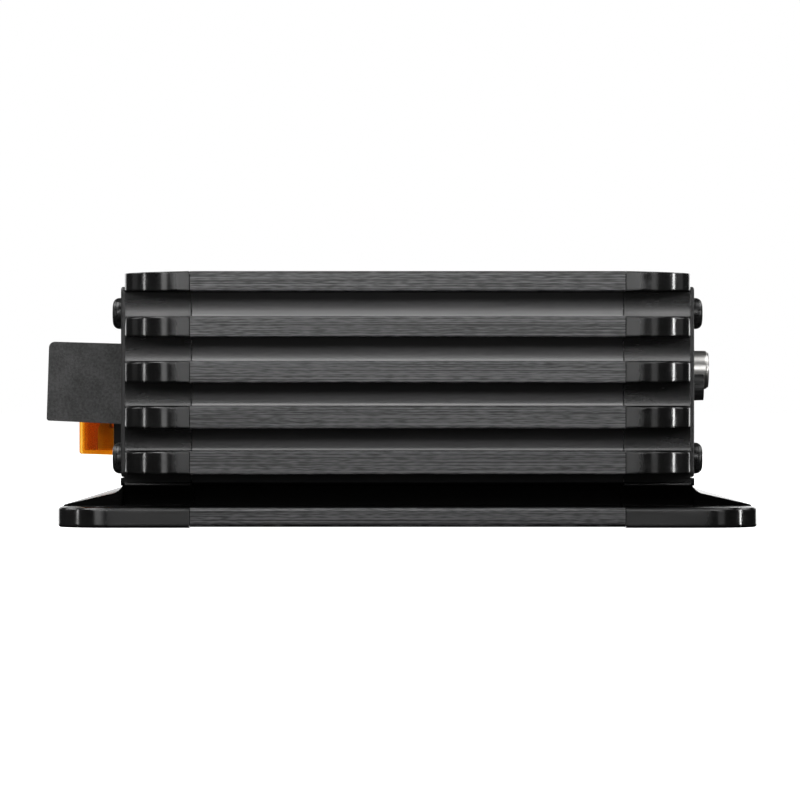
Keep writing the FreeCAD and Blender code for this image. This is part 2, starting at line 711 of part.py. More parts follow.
def pot_body(y):
    can = box((50.0, 58.0), (y - 4.8, y + 4.8), (PREAMP_TOP_Z, KNOB_Z + 5.0))
    bush = rod("x", y, KNOB_Z, 3.0, 57.5, 60.5)
    return joined([can, bush]).cut(rod("x", y, KNOB_Z, SHAFT_HOLE_R, 54.7, 62))


def rca_housing():
    """The moulded block that carries the row of jacks on the preamplifier board."""
    low, high = JACK_YS[0] - 7.0, JACK_YS[-1] + 7.0
    block = box((50.0, 62.9), (low, high), (PREAMP_TOP_Z, JACK_Z + 7.0))
    return block.cut([rod("x", y, JACK_Z, JACK_TAIL_R + FIT, 55.0, 70) for y in JACK_YS])


def rca_shell(y):
    """The nickel barrel that a phono plug grips, with a slimmer tail behind the panel."""
    corners = [
        (4.3, 55.0),
        (JACK_TAIL_R, 55.0),
        (JACK_TAIL_R, PANEL_X + 0.2),
        (JACK_R, PANEL_X + 0.2),
        (JACK_R, JACK_END_X, 1.0),
        (JACK_R - 0.45, JACK_END_X),
        (JACK_R - 0.45, JACK_END_X - 0.6),
        (4.3, JACK_END_X - 0.6),
    ]
    shape = Part.Face(outline(corners, "y", 0)).revolve(V(0, 0, 0), V(0, 0, 1), 360)
    shape.rotate(V(0, 0, 0), V(0, 1, 0), 90)
    shape.translate(V(0, y, JACK_Z))
    return shape


def rca_insulator(y):
    return tube("x", y, JACK_Z, 4.25, 2.05, 56.0, JACK_END_X - 0.9)


def rca_contact(y):
    return tube("x", y, JACK_Z, 2.0, 1.6, 58.0, JACK_END_X - 1.4)


def switch_body(y):
    shell = box((52.0, 62.9), (y - 5.4, y + 5.4), (PREAMP_TOP_Z, SWITCH_Z + 3.4))
    return shell.cut(box((56.0, 64), (y - 4.6, y + 4.6), (SWITCH_Z - 1.9, SWITCH_Z + 1.9)))


def switch_slider(y):
    foot = box((56.6, 60.0), (y - 1.9, y + 1.9), (SWITCH_Z - 1.55, SWITCH_Z + 1.55))
    stem = box((59.0, 66.6), (y - 1.4, y + 1.4), (SWITCH_Z - 1.4, SWITCH_Z + 1.4))
    grooves = [box((66.1, 67), (y + d - 0.2, y + d + 0.2), (20, 40)) for d in (-0.7, 0, 0.7)]
    return joined([foot, stem]).cut(grooves)


def remote_socket():
    """A modular socket for a remote level control, with the latch notch at its top."""
    half = SOCKET_HALF
    shell = box((50.0, 65.0), (SOCKET_Y - half, SOCKET_Y + half), (SOCKET_Z - half, SOCKET_Z + half))
    mouth = box((53.0, 66), (SOCKET_Y - 4.0, SOCKET_Y + 4.0), (SOCKET_Z - 4.2, SOCKET_Z + 3.0))
    notch = box((53.0, 66), (SOCKET_Y - 1.8, SOCKET_Y + 1.8), (SOCKET_Z + 2.5, SOCKET_Z + 4.6))
    foot = box((50.0, 62.0), (SOCKET_Y - 5.0, SOCKET_Y + 5.0), (PREAMP_TOP_Z, SOCKET_Z - 5))
    return joined([shell, foot]).cut([mouth, notch])


def indicator_led(y):
    lens = rod("x", y, LED_Z, 1.5, 60.0, 64.6)
    dome = Part.makeSphere(1.5, V(64.6, y, LED_Z))
    collar = rod("x", y, LED_Z, 1.9, 59.0, 60.5)
    lead = box((58.4, 59.4), (y - 0.8, y + 0.8), (PREAMP_TOP_Z, LED_Z + 0.5))
    return joined([lens, dome, collar, lead])


# ---- power side ----------------------------------------------------------------------------------
BORE_Z = 30.0
LARGE_CLAMP = {"x": -75.5, "bore_r": 4.25, "screw_r": 2.5, "cage": (-81.5, -69.5), "wide": 13.0, "top": 38.9}
SMALL_CLAMP = {"x": -75.5, "bore_r": 2.3, "screw_r": 1.5, "cage": (-81.0, -70.0), "wide": 7.4, "top": 37.4}
SPEAKER_CLAMP = {"x": -72.5, "bore_r": 2.9, "screw_r": 1.75, "cage": (-77.2, -67.2), "wide": 8.6, "top": 37.6}
SPEAKER_FIRST_Y = 44.75
SPEAKER_PITCH = 11.5


def terminal(name, y, sizes):
    """One screw terminal: the wire comes in along X and the screw comes down along Z."""
    return dict(sizes, name=name, y=y)


POWER_TERMINALS = [
    terminal("supply", -52.0, LARGE_CLAMP),
    terminal("remote", -37.0, SMALL_CLAMP),
    terminal("ground", -22.0, LARGE_CLAMP),
]
SPEAKER_TERMINALS = [
    terminal("speaker_" + str(i + 1), SPEAKER_FIRST_Y + SPEAKER_PITCH * i, SPEAKER_CLAMP) for i in range(4)
]
TAIL_HALF_Y = 1.6
TAIL_Z = (32.0, 33.5)
TAIL_TURN_X = -50.0
TAIL_THICK = 1.5
TAIL_LOW_Z = BOARD_LOW_Z + 0.2


def clamp_tail(t, margin):
    """The clamp's flat tail: straight in through the neck, then down into the main board."""
    start = t["cage"][1] - 1
    across = shrunk((t["y"] - TAIL_HALF_Y, t["y"] + TAIL_HALF_Y), -margin)
    turn = shrunk((TAIL_TURN_X - TAIL_THICK, TAIL_TURN_X), -margin)
    level = box((start, turn[1]), across, shrunk(TAIL_Z, -margin))
    return [level, box(turn, across, (TAIL_LOW_Z, TAIL_Z[1]))]


def clamp_block(t):
    half = t["wide"] / 2
    low = BORE_Z - t["bore_r"] - 1.6
    cage = box(t["cage"], (t["y"] - half, t["y"] + half), (low, t["top"]))
    shape = joined([cage] + clamp_tail(t, 0))
    bore = rod("x", t["y"], BORE_Z, t["bore_r"], t["cage"][0] - 1, t["cage"][1] - 1.5)
    thread = rod("z", t["x"], t["y"], t["screw_r"] + FIT, BORE_Z, t["top"] + 1)
    return shape.cut([bore, thread])


def pocket(t):
    """The room that a clamp, its wire and its screw need in a block."""
    gap = 0.15
    half = t["wide"] / 2 + gap
    low = BORE_Z - t["bore_r"] - 1.6 - gap
    cage = box(shrunk(t["cage"], -gap), (t["y"] - half, t["y"] + half), (low, t["top"] + gap))
    entry = rod("x", t["y"], BORE_Z, t["bore_r"] + 0.3, -90, t["cage"][0])
    driver = rod("z", t["x"], t["y"], t["screw_r"] + 0.5, BORE_Z, 50)
    return [cage, entry, driver] + clamp_tail(t, gap)


def neck_y(limits, clearance):
    return shrunk(limits, NECK_MARGIN - clearance)


def terminal_block(corners, limits, neck_z, terminals):
    """A moulded block outside the panel with a neck that reaches through it."""
    body = prism(corners, "y", limits[0], limits[1])
    neck = box((-PANEL_X - 1, NECK_X), neck_y(limits, 0), neck_z)
    shape = joined([body, neck])
    cuts = []
    for t in terminals:
        cuts += pocket(t)
    walls = [(a["y"] + b["y"]) / 2 for a, b in zip(terminals, terminals[1:])]
    slots = [box((-90, corners[1][0] + 2.0), (y - 0.5, y + 0.5), (10, 50)) for y in walls]
    return shape.cut(cuts + slots)


def clamp_screw_pair(t):
    """The saddle that presses on the wire, and the grub screw that turns on top of it."""
    crown = BORE_Z + t["bore_r"]
    r = t["screw_r"]
    saddle = rod("z", t["x"], t["y"], r, crown + 0.05, crown + 1.45)
    saddle = saddle.cut(rod("z", t["x"], t["y"], r * 0.45 + FIT, crown + 0.65, crown + 2))
    low = crown + 1.75
    body = rod("z", t["x"], t["y"], r, low, low + 4.6)
    tip = rod("z", t["x"], t["y"], r * 0.45, crown + 0.95, low + 0.5)
    socket = prism(hexagon(t["x"], t["y"], r * 1.1), "z", low + 2.2, low + 6)
    return saddle, joined([body, tip]).cut(socket)


def fuse_body(y):
    """The clear plastic head of a blade fuse, open towards its blades."""
    half = FUSE_WIDE / 2
    corners = [
        (FUSE_END_X, FUSE_Z - half + 0.3, 0.6),
        (FUSE_END_X, FUSE_Z + half - 0.3, 0.6),
        (FUSE_SEAT_X, FUSE_Z + half, 0.5),
        (FUSE_SEAT_X, FUSE_Z - half, 0.5),
    ]
    shape = prism(corners, "y", y - FUSE_THICK / 2, y + FUSE_THICK / 2)
    inside = half - FUSE_SKIN
    room = box(
        (FUSE_END_X + FUSE_SKIN, FUSE_SEAT_X + 1),
        (y - FUSE_THICK / 2 + FUSE_SKIN, y + FUSE_THICK / 2 - FUSE_SKIN),
        (FUSE_Z - inside, FUSE_Z + inside),
    )
    return shape.cut(room)


def fuse_element(y):
    """Both blades and the fusible link that joins them, stamped from one strip."""
    inner = BLADE_OFFSET - BLADE_WIDE / 2
    outer = BLADE_OFFSET + BLADE_WIDE / 2
    corners = [
        (BLADE_END_X, FUSE_Z - outer, 0.6),
        (BLADE_END_X, FUSE_Z - inner, 0.6),
        (FUSE_SEAT_X - 1.2, FUSE_Z - inner, 0.8),
        (FUSE_SEAT_X - 1.2, FUSE_Z + inner, 0.8),
        (BLADE_END_X, FUSE_Z + inner, 0.6),
        (BLADE_END_X, FUSE_Z + outer, 0.6),
        (BLADE_TOP_X, FUSE_Z + outer, 0.5),
        (BLADE_TOP_X, FUSE_Z + inner, 2.0),
        (FUSE_SEAT_X - 2.4, FUSE_Z, 1.0),
        (BLADE_TOP_X, FUSE_Z - inner, 2.0),
        (BLADE_TOP_X, FUSE_Z - outer, 0.5),
    ]
    return prism(corners, "y", y - BLADE_THICK / 2, y + BLADE_THICK / 2)


def blade_slot(y, z, wide, thick, start, end):
    return box((start, end), (y - thick / 2, y + thick / 2), (z - wide / 2, z + wide / 2))


def blade_spots():
    return [(y, FUSE_Z + s * BLADE_OFFSET) for y in FUSE_YS.values() for s in (-1, 1)]


def fuse_holder():
    face = box((HOLDER_X, -PANEL_X), HOLDER_Y, HOLDER_Z)
    upright = [e for e in face.Edges if e.BoundBox.XLength > 5]
    face = face.makeFillet(0.8, upright)
    inside = box((-PANEL_X - 1, HOLDER_INNER_X), shrunk(HOLDER_Y, 1), shrunk(HOLDER_Z, 1))
    slots = []
    for y, z in blade_spots():
        slots.append(blade_slot(y, z, BLADE_WIDE + 0.8, 2.6, HOLDER_X - 1, HOLDER_INNER_X - 1.5))
    return joined([face, inside]).cut(slots)


def fuse_contacts():
    """Forked spring contacts, one round each blade, with a gap that the blade slides into."""
    clips = []
    for y, z in blade_spots():
        clip = blade_slot(y, z, 4.4, 2.2, -69.5, -58.0)
        gap = blade_slot(y, z, 6.0, BLADE_THICK + 0.5, -70.5, -61.0)
        clips.append(clip.cut(gap))
    return clips


# ---- write the parts -----------------------------------------------------------------------------
def main():
    os.makedirs("parts", exist_ok=True)
    compound = Part.makeCompound
    cap = end_cap()
    save("heatsink_extrusion", heatsink_extrusion())
    save("end_cap_input_side", cap)
    save("end_cap_power_side", mirror_x(cap))
    save("power_panel", power_panel())
    save("input_panel", input_panel())
    save("power_panel_screws", compound(panel_screws(-1)))
    save("input_panel_screws", compound(panel_screws(1)))
    save("bottom_plate", bottom_plate())
    save("bottom_screws", compound([bottom_screw(x, y) for x, y in BOTTOM_SCREW_SPOTS]))
    save("board_standoffs", compound(board_standoffs()))
    save("board_screws", compound(board_screws()))
    terminals = POWER_TERMINALS + SPEAKER_TERMINALS
    tails = [clamp_tail(t, 0.15)[1] for t in terminals]
    save("main_board", main_board().cut(transistor_leg_holes() + tails))
    save("preamp_board", preamp_board())
    save("transformer_core", core_ring(TOROID_SPOT, TOROID_R, TOROID_Z))
    save("transformer_winding", winding(TOROID_SPOT, TOROID_R, TOROID_Z))
    save("choke_cores", compound([core_ring(s, CHOKE_R, CHOKE_Z) for s in CHOKE_SPOTS]))
    save("choke_windings", compound([winding(s, CHOKE_R, CHOKE_Z) for s in CHOKE_SPOTS]))
    save("input_capacitors", compound([capacitor(x, y, *INPUT_CAP_SIZE) for x, y in INPUT_CAP_SPOTS]))
    save("rail_capacitors", compound([capacitor(x, y, *RAIL_CAP_SIZE) for x, y in RAIL_CAP_SPOTS]))
    save("supply_transistors", compound([transistor(x, -1) for x in TRANSISTOR_XS]))
    save("output_transistors", compound([transistor(x, 1) for x in TRANSISTOR_XS]))
    save("thermal_pads", compound(thermal_pads()))
    save("clamp_bars", compound([clamp_bar(end) for end in (-1, 1)]))
    save("clamp_screws", compound([clamp_screw(x, end) for x in CLAMP_SCREW_XS for end in (-1, 1)]))
    save("rca_housing", rca_housing())
    save("rca_shells", compound([rca_shell(y) for y in JACK_YS]))
    save("rca_insulators", compound([rca_insulator(y) for y in JACK_YS]))
    save("rca_contacts", compound([rca_contact(y) for y in JACK_YS]))
    save("pot_bodies", compound([pot_body(y) for y in KNOB_YS.values()]))
    for name, y in KNOB_YS.items():
        save(name, knob(y))
    save("switch_bodies", compound([switch_body(y) for y in SWITCH_YS.values()]))
    for name, y in SWITCH_YS.items():
        save(name, switch_slider(y))
    save("remote_socket", remote_socket())
    save("indicator_leds", compound([indicator_led(y) for y in LED_YS]))
    power_block = terminal_block(BLOCK_CORNERS, BLOCK_Y, BLOCK_NECK_Z, POWER_TERMINALS)
    speaker_block = terminal_block(SPEAKER_CORNERS, SPEAKER_Y, SPEAKER_NECK_Z, SPEAKER_TERMINALS)
    save("power_terminal_block", power_block)
    save("speaker_terminal_block", speaker_block)
    save("terminal_clamps", compound([clamp_block(t) for t in terminals]))
    for t in terminals:
        saddle, screw = clamp_screw_pair(t)
        save(t["name"] + "_saddle", saddle)
        save(t["name"] + "_screw", screw)
    save("fuse_holder", fuse_holder())
    save("fuse_contacts", compound(fuse_contacts()))
    for number, y in FUSE_YS.items():
        save("fuse_" + number + "_body", fuse_body(y))
        save("fuse_" + number + "_element", fuse_element(y))


main()
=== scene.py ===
import json
import math

import bpy
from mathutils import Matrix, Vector

# The looks of a car amplifier: materials for every CAD node, soft studio light and the camera.
# Everything is in metres and in the CAD frame: +Z is up and the camera looks along +Y at the finned end.

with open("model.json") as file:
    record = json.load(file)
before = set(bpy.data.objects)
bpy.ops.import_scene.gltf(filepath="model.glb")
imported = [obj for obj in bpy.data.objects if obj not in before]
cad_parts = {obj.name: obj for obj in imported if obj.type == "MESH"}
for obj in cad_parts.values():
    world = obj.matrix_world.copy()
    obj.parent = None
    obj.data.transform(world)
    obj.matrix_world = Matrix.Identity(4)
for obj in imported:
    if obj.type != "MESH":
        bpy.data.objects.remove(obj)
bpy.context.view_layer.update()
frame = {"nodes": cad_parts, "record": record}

# ---- camera, floor and room ----------------------------------------------------------------------
CAMERA_SPOT = Vector((-0.0017, -1.115, 0.0284))
CAMERA_LENS_MM = 203.0
SENSOR_MM = 36.0
CLIP_NEAR = 0.01
CLIP_FAR = 50.0
FLOOR_HALF = 8.0
FLOOR_GLOW = 1.0
# the room's brightness below and above, and the two heights that it changes between
ROOM_LOW = 0.01
ROOM_HIGH = 0.03
ROOM_FADE = (-0.1, 0.5)

# ---- lights --------------------------------------------------------------------------------------
LIGHT_AIM = Vector((0.0, -0.09, 0.028))
# name, azimuth, elevation, distance, width, height, watts; azimuth 0 is on the camera's side
LIGHTS = [
    ("key", 0, 12.5, 0.4, 0.6, 0.034, 0.59),
    ("key_high", 0, 22, 0.6, 0.9, 0.06, 0.7),
    ("front_card", 0, 0, 1.3, 0.2, 0.12, 0.07),
    ("card_left", -23, 2, 1.2, 0.26, 0.25, 0.5),
    ("card_right", 31, 2, 1.2, 0.3, 0.25, 0.2),
    ("strip_left", -71, 5, 1.0, 0.05, 0.3, 0.66),
    ("strip_right", 79, 5, 1.0, 0.05, 0.3, 2.0),
    ("side_left", -100, 10, 1.2, 0.4, 0.4, 0.12),
    ("side_right", 100, 10, 1.2, 0.4, 0.4, 0.16),
    ("high_left", -108, 35, 1.2, 0.7, 0.4, 4.0),
    ("high_right", 108, 35, 1.2, 0.7, 0.4, 4.0),
    ("over_left", -60, 60, 0.9, 0.5, 0.5, 6.0),
    ("over_right", 60, 60, 0.9, 0.5, 0.5, 2.0),
    ("back_left", -163, 6, 1.3, 0.8, 0.5, 1.7),
    ("back_right", 163, 6, 1.3, 0.8, 0.5, 2.5),
]

# ---- where the finish changes --------------------------------------------------------------------
# A pair is where a finish starts to change and where the change is complete. Y is taken without its
# sign, so that both ends of the part are alike.
BASE_TOP_Z = 0.012
FIN_FRONT_Y = (0.1144, 0.1147)
FIN_TOP_Z = (0.0564, 0.0567)
CAP_FRONT_Y = (0.11485, 0.11498)
CAP_TOP_Z = (0.0566, 0.0569)
CAP_RECESS_Y = (0.1042, 0.1046)
# where a cap's flat front ends and its corner begins; the base reaches further out than the fins
CAP_FLAT_X = (0.0504, 0.0528)
BASE_REACH = 0.0152
GROOVE_INNER_Y = (0.0915, 0.0918)
GROOVE_OUTER_Y = (0.1040, 0.1043)
GROOVE_FLOOR_Z = (0.0044, 0.0046)
GROOVE_ROOF_Z = (0.0098, 0.0102)
RECESS_INNER_Y = 0.085
RECESS_OUTER_Y = 0.1048
RECESS_FOOT_Z = 0.0068
RECESS_PITCH = 0.01
# heights above the lowest foot and then above each wall's own foot, as shares of the pitch
LOWEST_WALL = 0.32
HIGHEST_WALL = 4.9
WALL_HEIGHT = 0.57

# ---- leans of the shading ------------------------------------------------------------------------
# Slopes; a positive one faces up. The recess walls shade as if slightly hollow, leaning up at their
# foot and down under the fin above. The foot has a brighter band with a thin seat line below it.
FOOT_LEAN = 0.1
TOP_LEAN = -0.1
HOLLOW_HEIGHT = 0.38
FOOT_BAND = 0.085
BAND_LEAN = 0.04
SEAT_LINE = 0.033
SEAT_LEAN = 1.0
# what the lean gains, and the most that it may be, at the lowest and at the highest wall
WALLS_Z = (0.017, 0.05)
GAIN_LEAN = (-0.005, 0.038)
MOST_LEAN = (0.132, 0.085)
# surfaces whose normal points up or down by more than this aren't walls
UPRIGHT = 0.95
CAP_FRONT_LEAN = 0.04
BASE_LEAN = -0.03
STRIP_BOW = -0.2

# ---- roughness and gloss -------------------------------------------------------------------------
# painted shade: the deep groove above the base bar gets a near-black colour and almost no specular gloss,
# standing in for its shadow
GROOVE_SHADE_TONE = 0.001
GROOVE_SHADE_GLOSS = 0.02
PLAIN_GLOSS = 0.5
CAP_FRONT_SATIN = 0.2
CAP_RECESS_SATIN = 0.1
CAP_TOP_SATIN = 0.16
CAP_EDGE_RADIUS = 0.0005
FOOT_BAND_POLISH = -0.04
# brushed lines: long scratches broken up by short ones, each with its cells per metre along X, Y and Z
SCRATCH_CELLS = (14, 7500, 7500)
BREAK_CELLS = (330, 3600, 3600)
SCRATCH_SHARE = 0.75
BREAK_SHARE = 0.5
# the streaks that the darkest and the brightest line stand for, and those that the roughness follows
LINE_STREAKS = (0.55, 0.74)
ROUGH_STREAKS = (0.54, 0.74)
LINE_ROUGHNESS = (0.19, 0.06)
PLAIN_ROUGHNESS = (0.235, 0.255)
# the range that most of a noise lies in
NOISE_RANGE = (0.3, 0.7)


# ---- node helpers --------------------------------------------------------------------------------
# the Mix node's sockets for each kind of value: first, second and result
MIX_SOCKETS = {"VECTOR": (4, 5, 1), "RGBA": (6, 7, 2)}


class Nodes:
    """A node tree and a short call that adds nodes to it."""

    def __init__(self, tree):
        self.tree = tree

    def add(self, kind, inputs=None, **settings):
        made = self.tree.nodes.new("ShaderNode" + kind)
        for name, value in settings.items():
            setattr(made, name, value)
        for name, value in (inputs or {}).items():
            self.give(made.inputs[name], value)
        return made

    def give(self, socket, value):
        if isinstance(value, bpy.types.NodeSocket):
            self.tree.links.new(value, socket)
        else:
            socket.default_value = value

    def span(self, value, low, high, to_low, to_high):
        inputs = {"Value": value, "From Min": low, "From Max": high, "To Min": to_low, "To Max": to_high}
        return self.add("MapRange", inputs).outputs["Result"]


class Paint(Nodes):
    """One material: its principled shader, its object coordinates and short calls that add nodes."""

    def __init__(self, name):
        self.material = bpy.data.materials.new(name)
        self.material.use_nodes = True
        super().__init__(self.material.node_tree)
        self.shader = self.tree.nodes["Principled BSDF"]
        self.place = self.add("TexCoord").outputs["Object"]

    def set(self, **values):
        """Shader sockets by their names, with spaces written as underscores."""
        for name, value in values.items():
            self.give(self.shader.inputs[name.replace("_", " ")], value)

    def stretched(self, x, y, z):
        """Object coordinates with the given number of cells per metre along each axis."""
        return self.add("Mapping", {"Vector": self.place, "Scale": (x, y, z)}).outputs["Vector"]

    def noise(self, place, scale=1.0, detail=2.0, roughness=0.5):
        inputs = {"Vector": place, "Scale": scale, "Detail": detail, "Roughness": roughness}
        return self.add("TexNoise", inputs).outputs["Fac"]

    def cells(self, place, scale):
        return self.add("TexVoronoi", {"Vector": place, "Scale": scale}).outputs["Distance"]

    def ramp(self, fac, low, high):
        """A colour ramp between two (position, colour) stops."""
        made = self.add("ValToRGB", {"Fac": fac})
        for element, (position, color) in zip(made.color_ramp.elements, (low, high)):
            element.position = position
            element.color = color
        return made.outputs["Color"]

    def fade_in(self, value, pair):
        """0 before the pair and 1 after it."""
        return self.span(value, *pair, 0.0, 1.0)

    def fade_out(self, value, pair):
        """1 before the pair and 0 after it."""
        return self.span(value, *pair, 1.0, 0.0)

    def vary(self, noise, low, high):
        """From low to high over the range that most of a noise lies in."""
        return self.span(noise, *NOISE_RANGE, low, high)

    def math(self, operation, first, second=0.0):
        return self.add("Math", {0: first, 1: second}, operation=operation).outputs["Value"]

    def total(self, first, *others):
        for other in others:
            first = self.math("ADD", first, other)
        return first

    def product(self, first, *others):
        for other in others:
            first = self.math("MULTIPLY", first, other)
        return first

    def blend(self, kind, share, first, second):
        """From the first value to the second as the share goes from 0 to 1."""
        made = self.add("Mix", {0: share}, data_type=kind)
        first_socket, second_socket, result = MIX_SOCKETS[kind]
        self.give(made.inputs[first_socket], first)
        self.give(made.inputs[second_socket], second)
        return made.outputs[result]

    def bump(self, height, strength, distance, normal=None):
        inputs = {"Height": height, "Strength": strength, "Distance": distance}
        if normal is not None:
            inputs["Normal"] = normal
        return self.add("Bump", inputs).outputs["Normal"]

    def leaned(self, normal, axis, slope):
        """The normal with a slope along one axis added to it."""
        lean = self.add("CombineXYZ", {axis: slope}).outputs["Vector"]
        return self.add("VectorMath", {0: normal, 1: lean}, operation="ADD").outputs["Vector"]

    def unit(self, vector):
        return self.add("VectorMath", {0: vector}, operation="NORMALIZE").outputs["Vector"]


def grey(value):
    return (value, value, value, 1.0)


# ---- shading of the fins, recesses and groove ----------------------------------------------------
def places(paint):
    """How far a point is from the middle along X and along Y, and its height."""
    parts = paint.add("SeparateXYZ", {"Vector": paint.place})
    across = paint.math("ABSOLUTE", parts.outputs["X"])
    out = paint.math("ABSOLUTE", parts.outputs["Y"])
    return across, out, parts.outputs["Z"]


def painted_groove_shade(paint, out, height):
    """1 inside the deep groove above the base bar, where colour and gloss are painted near black as painted
    shade, else 0.
    """
    deep = paint.product(paint.fade_in(out, GROOVE_INNER_Y), paint.fade_out(out, GROOVE_OUTER_Y))
    between = paint.product(paint.fade_in(height, GROOVE_FLOOR_Z), paint.fade_out(height, GROOVE_ROOF_Z))
    return paint.product(deep, between)


def recess(paint, out, height):
    """How far up its recess a point is, as a share of the pitch, and a mask of 1 on the recess walls."""
    steps = paint.product(paint.math("SUBTRACT", height, RECESS_FOOT_Z), 1.0 / RECESS_PITCH)
    rise = paint.math("MODULO", steps, 1.0)
    wall = paint.product(
        paint.math("LESS_THAN", out, RECESS_OUTER_Y),
        paint.math("GREATER_THAN", out, RECESS_INNER_Y),
        paint.math("GREATER_THAN", steps, LOWEST_WALL),
        paint.math("LESS_THAN", steps, HIGHEST_WALL),
        paint.math("LESS_THAN", rise, WALL_HEIGHT),
    )
    return rise, wall


def hollow_wall(paint, height, rise, wall, normal):
    """Lays the normal of a recess wall level and leans it by its place in the recess and its height."""
    hollow = paint.span(rise, 0.0, HOLLOW_HEIGHT, FOOT_LEAN, TOP_LEAN)
    gain = paint.span(height, *WALLS_Z, *GAIN_LEAN)
    band = paint.product(paint.math("LESS_THAN", rise, FOOT_BAND), BAND_LEAN)
    most = paint.span(height, *WALLS_Z, *MOST_LEAN)
    seat = paint.product(paint.math("LESS_THAN", rise, SEAT_LINE), SEAT_LEAN)
    lean = paint.total(paint.math("MINIMUM", paint.total(hollow, gain, band), most), seat)
    flattened = paint.add("VectorMath", {0: normal, 1: (1.0, 1.0, 0.0)}, operation="MULTIPLY")
    level = paint.unit(flattened.outputs["Vector"])
    facing = paint.add("SeparateXYZ", {"Vector": normal}).outputs["Z"]
    upright = paint.math("LESS_THAN", paint.math("ABSOLUTE", facing), UPRIGHT)
    leaning = paint.unit(paint.leaned(level, "Z", lean))
    return paint.blend("VECTOR", paint.product(wall, upright), normal, leaning)


# ---- materials -----------------------------------------------------------------------------------
def brushed_black_aluminium(paint):
    """Black anodised extrusion: fronts and top brushed along X, recess walls left plain and smoother."""
    _, out, height = places(paint)
    groove = painted_groove_shade(paint, out, height)
    rise, wall = recess(paint, out, height)
    brushed = paint.math("MAXIMUM", paint.fade_in(out, FIN_FRONT_Y), paint.fade_in(height, FIN_TOP_Z))
    scratches = paint.noise(paint.stretched(*SCRATCH_CELLS), detail=1.0)
    breaks = paint.noise(paint.stretched(*BREAK_CELLS), detail=1.0)
    streaks = paint.total(paint.product(scratches, SCRATCH_SHARE), paint.product(breaks, BREAK_SHARE))
    dark = (LINE_STREAKS[0], (0.002, 0.002, 0.0025, 1))
    bright = (LINE_STREAKS[1], (0.108, 0.108, 0.111, 1))
    lines = paint.ramp(streaks, dark, bright)
    cloud = paint.noise(paint.stretched(60, 400, 400), detail=2.0)
    plain = paint.ramp(cloud, (0.3, (0.020, 0.020, 0.021, 1)), (0.7, (0.025, 0.025, 0.026, 1)))
    finish = paint.blend("RGBA", brushed, plain, lines)
    # painted shade: inside the groove the colour is set near black and the specular gloss nearly off
    paint.set(Base_Color=paint.blend("RGBA", groove, finish, grey(GROOVE_SHADE_TONE)), Metallic=0.0, IOR=1.6)
    paint.set(Specular_IOR_Level=paint.span(groove, 0.0, 1.0, PLAIN_GLOSS, GROOVE_SHADE_GLOSS))
    foot = paint.product(paint.math("LESS_THAN", rise, FOOT_BAND), wall)
    paint.set(Roughness=paint.total(
        paint.product(paint.span(streaks, *ROUGH_STREAKS, *LINE_ROUGHNESS), brushed),
        paint.product(foot, FOOT_BAND_POLISH),
        paint.vary(cloud, *PLAIN_ROUGHNESS),
    ))
    skin = paint.bump(paint.product(streaks, brushed), 0.3, 0.00003)
    base = paint.math("LESS_THAN", height, BASE_TOP_Z)
    skin = paint.leaned(skin, "Z", paint.product(base, BASE_LEAN))
    paint.set(Normal=hollow_wall(paint, height, rise, wall, skin))


def gloss_black_plastic(paint):
    """Moulded caps: deep gloss with a faint orange peel, a few fine rubs and softened edges."""
    across, out, height = places(paint)
    groove = painted_groove_shade(paint, out, height)
    rise, wall = recess(paint, out, height)
    peel = paint.noise(paint.place, 420, 2.0)
    flow = paint.noise(paint.place, 60, 1.0)
    rubs = paint.noise(paint.stretched(90, 900, 500), detail=4.0)
    shade = paint.span(flow, 0.35, 0.7, 0.006, 0.011)
    # painted shade: inside the groove the colour is cut to a twentieth and the specular gloss nearly off
    paint.set(Base_Color=paint.product(shade, paint.span(groove, 0.0, 1.0, 1.0, 0.05)))
    paint.set(Specular_IOR_Level=paint.span(groove, 0.0, 1.0, PLAIN_GLOSS, GROOVE_SHADE_GLOSS))
    base = paint.math("LESS_THAN", height, BASE_TOP_Z)
    reach = paint.math("SUBTRACT", across, paint.product(base, BASE_REACH))
    flat = paint.product(paint.fade_in(out, CAP_FRONT_Y), paint.fade_out(reach, CAP_FLAT_X))
    paint.set(Roughness=paint.total(
        paint.product(flat, CAP_FRONT_SATIN),
        paint.span(out, *CAP_RECESS_Y, CAP_RECESS_SATIN, 0.0),
        paint.span(height, *CAP_TOP_Z, 0.0, CAP_TOP_SATIN),
        paint.span(rubs, 0.35, 0.75, 0.13, 0.2),
    ), IOR=1.55)
    edges = paint.add("Bevel", {"Radius": CAP_EDGE_RADIUS}, samples=6).outputs["Normal"]
    above_base = paint.math("SUBTRACT", 1.0, base)
    lean = paint.product(flat, above_base, CAP_FRONT_LEAN)
    skin = paint.leaned(paint.bump(peel, 0.05, 0.00008, edges), "Z", lean)
    paint.set(Normal=hollow_wall(paint, height, rise, wall, skin))


def black_painted_steel(paint):
    """Satin powder coat with its fine pebbled skin."""
    pebbles = paint.noise(paint.place, 2600, 2.0)
    dust = paint.noise(paint.place, 35, 3.0)
    paint.set(Base_Color=paint.ramp(dust, (0.3, grey(0.012)), (0.75, grey(0.019))))
    paint.set(Roughness=paint.vary(dust, 0.36, 0.46))
    paint.set(Normal=paint.bump(pebbles, 0.25, 0.00008))


def black_screw_steel(paint):
    """Black oxide on steel, slightly worn bright where a driver and fingers rub it."""
    grain = paint.noise(paint.place, 1800, 3.0)
    paint.set(Base_Color=paint.ramp(grain, (0.3, grey(0.012)), (0.8, grey(0.03))), Metallic=0.35)
    paint.set(Roughness=paint.vary(grain, 0.22, 0.38))
    paint.set(Normal=paint.bump(grain, 0.1, 0.00005))


